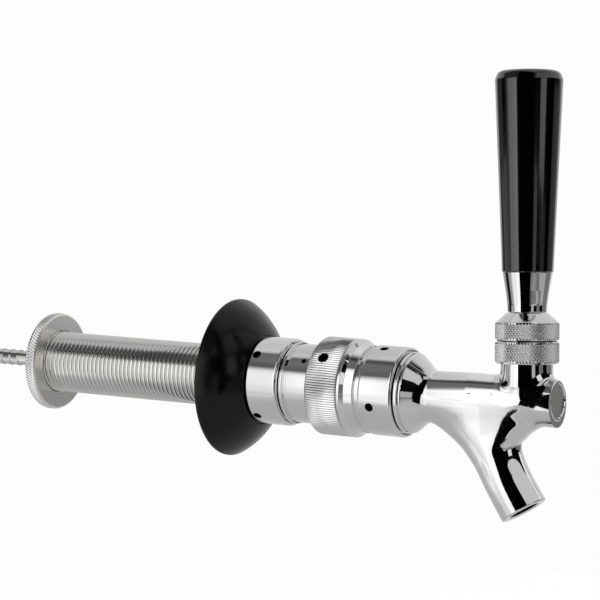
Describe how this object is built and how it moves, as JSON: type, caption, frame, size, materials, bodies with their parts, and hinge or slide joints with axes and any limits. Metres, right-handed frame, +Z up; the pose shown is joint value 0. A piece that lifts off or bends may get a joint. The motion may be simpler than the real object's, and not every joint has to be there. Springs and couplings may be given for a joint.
{
  "type": "flow control beer tap",
  "caption": "Wall-mounted beer tap: threaded shank with a disc nut and black flange, in-line flow regulator with a turning ring, curved spout, and lever with a black handle.",
  "frame": {"origin": "centre of the wall flange's rear face, on the axis of the shank, where the tap rests on the wall", "axes": "+X along the shank towards the faucet, +Z up towards the handle, +Y to the tap's left as the drinker's side is faced from the wall"},
  "size_m": [0.2396, 0.058, 0.158],
  "materials": {
    "chrome": "polished chromium plate on brass",
    "black_plastic": "glossy moulded black plastic",
    "steel": "plain stainless steel",
    "dark_steel": "black oxide on a steel screw",
    "brass": "plain turned brass",
    "rubber": "black food-grade rubber",
    "white_plastic": "natural white acetal"
  },
  "bodies": {
    "tap": {"shank": "chrome", "hose_barb": "chrome", "barb_seal": "rubber", "wall_flange": "black_plastic", "retaining_ring_rear": "steel", "coupling_seal_rear": "rubber", "regulator_body": "chrome", "guide_pin": "steel", "regulator_housing": "chrome", "retaining_ring_front": "steel", "coupling_seal_front": "rubber", "faucet_body": "chrome", "friction_washer": "white_plastic", "ball_washer": "white_plastic", "bonnet": "chrome"},
    "disc_nut": {"rear_nut": "chrome"},
    "rear_coupling": {"coupling_nut_rear": "chrome"},
    "front_coupling": {"coupling_nut_front": "chrome"},
    "ring": {"regulating_ring": "chrome", "drive_screw": "dark_steel"},
    "cone": {"flow_cone": "white_plastic", "cone_seal_rear": "rubber", "cone_seal_front": "rubber"},
    "lever_set": {"lever": "steel", "lever_collar": "chrome", "ferrule": "chrome", "handle": "black_plastic"},
    "shaft": {"valve_shaft": "steel", "shaft_seal": "rubber", "seat_washer": "rubber", "seat_nut": "brass"}
  },
  "joints": [
    {"name": "disc_nut_slide", "type": "slide", "parent": "tap", "child": "disc_nut", "axis": [1, 0, 0], "range_m": [0, 0.077]},
    {"name": "rear_coupling_turn", "type": "hinge", "parent": "tap", "child": "rear_coupling", "pos_m": [0.02, 0, 0], "axis": [1, 0, 0], "continuous": true},
    {"name": "front_coupling_turn", "type": "hinge", "parent": "tap", "child": "front_coupling", "pos_m": [0.0662, 0, 0], "axis": [1, 0, 0], "continuous": true},
    {"name": "ring_turn", "type": "hinge", "parent": "tap", "child": "ring", "pos_m": [0.04545, 0, 0], "axis": [1, 0, 0], "range_deg": [0, 150]},
    {"name": "cone_slide", "type": "slide", "parent": "tap", "child": "cone", "axis": [1, 0, 0], "range_m": [0, 0.0045]},
    {"name": "lever_tilt", "type": "hinge", "parent": "tap", "child": "lever_set", "pos_m": [0.11722, 0, 0.01631], "axis": [0, 1, 0], "range_deg": [0, 22]},
    {"name": "shaft_slide", "type": "slide", "parent": "tap", "child": "shaft", "axis": [0.9988, 0, 0.0497], "range_m": [-0.0057, 0]}
  ],
  "couplings": [
    {"joint": "cone_slide", "follows": "ring_turn", "m_per_rad": 0.001718},
    {"joint": "shaft_slide", "follows": "lever_tilt", "m_per_rad": -0.01483}
  ]
}
